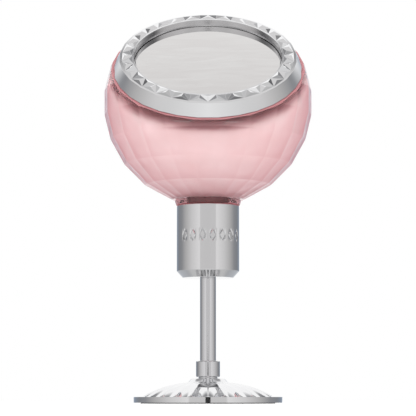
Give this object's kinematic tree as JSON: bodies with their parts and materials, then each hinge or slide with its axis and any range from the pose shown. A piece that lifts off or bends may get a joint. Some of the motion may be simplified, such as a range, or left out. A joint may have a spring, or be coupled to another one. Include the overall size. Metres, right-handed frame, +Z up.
{
  "type": "goblet-shaped perfume spray bottle",
  "caption": "Faceted pink glass globe with a tilted mirror, on a plated cap, slim stem and fluted round foot; the bottle lifts out of the cap to reach its spray pump.",
  "frame": {"origin": "centre of the foot pad's underside, on the stem's axis", "axes": "+Z up along the stem, -Y towards the front, where the tilted mirror faces; +X to the right seen from the front"},
  "size_m": [0.0786, 0.0769, 0.1503],
  "materials": {
    "polished_chrome": "bright chrome plate on zinc and steel",
    "pink_glass": "clear glass, pink lacquer on the inside",
    "mirror": "silvered glass",
    "anodised_aluminium": "bright anodised silver",
    "plain_steel": "zinc plated",
    "spring_steel": "drawn stainless wire",
    "natural_plastic": "natural polypropylene, slightly milky",
    "white_plastic": "white acetal",
    "clear_glue": "cured clear adhesive",
    "gasket_rubber": "nitrile",
    "felt": "self-adhesive felt"
  },
  "bodies": {
    "stand": {"foot_base": "polished_chrome", "foot_pad": "felt", "foot_nut": "plain_steel", "foot_washer": "plain_steel", "stem_ferrule": "polished_chrome", "stem_tube": "polished_chrome", "tie_rod": "plain_steel", "cap_shell": "polished_chrome", "cap_nut": "plain_steel", "cap_weight": "plain_steel", "cap_liner": "natural_plastic"},
    "bottle": {"glass_bottle": "pink_glass", "bezel_ring": "polished_chrome", "bezel_glue": "clear_glue", "mirror_disc": "mirror", "mirror_glue": "clear_glue", "crimp_ferrule": "anodised_aluminium", "neck_gasket": "gasket_rubber", "pump_collar": "anodised_aluminium", "pump_housing": "natural_plastic", "pump_turret": "natural_plastic", "return_spring": "spring_steel", "dip_tube": "natural_plastic"},
    "pump_plunger": {"pump_stem": "white_plastic", "pump_piston": "white_plastic"},
    "spray_button": {"button_core": "white_plastic", "button_shell": "anodised_aluminium", "nozzle_insert": "white_plastic"},
    "inlet_ball": {"check_ball": "spring_steel"}
  },
  "joints": [
    {"name": "bottle_lift", "type": "slide", "parent": "stand", "child": "bottle", "axis": [0, 0, 1], "range_m": [0, 0.034]},
    {"name": "pump_press", "type": "slide", "parent": "bottle", "child": "pump_plunger", "axis": [0, 0, 1], "range_m": [0, 0.0045], "stiffness_N_per_m": 900, "springref_m": -0.004, "deforming": ["return_spring"]},
    {"name": "button_turn", "type": "hinge", "parent": "pump_plunger", "child": "spray_button", "pos_m": [0, 0, 0.058], "axis": [0, 0, 1], "continuous": true},
    {"name": "ball_lift", "type": "slide", "parent": "bottle", "child": "inlet_ball", "axis": [0, 0, 1], "range_m": [0, 0.0008]}
  ]
}
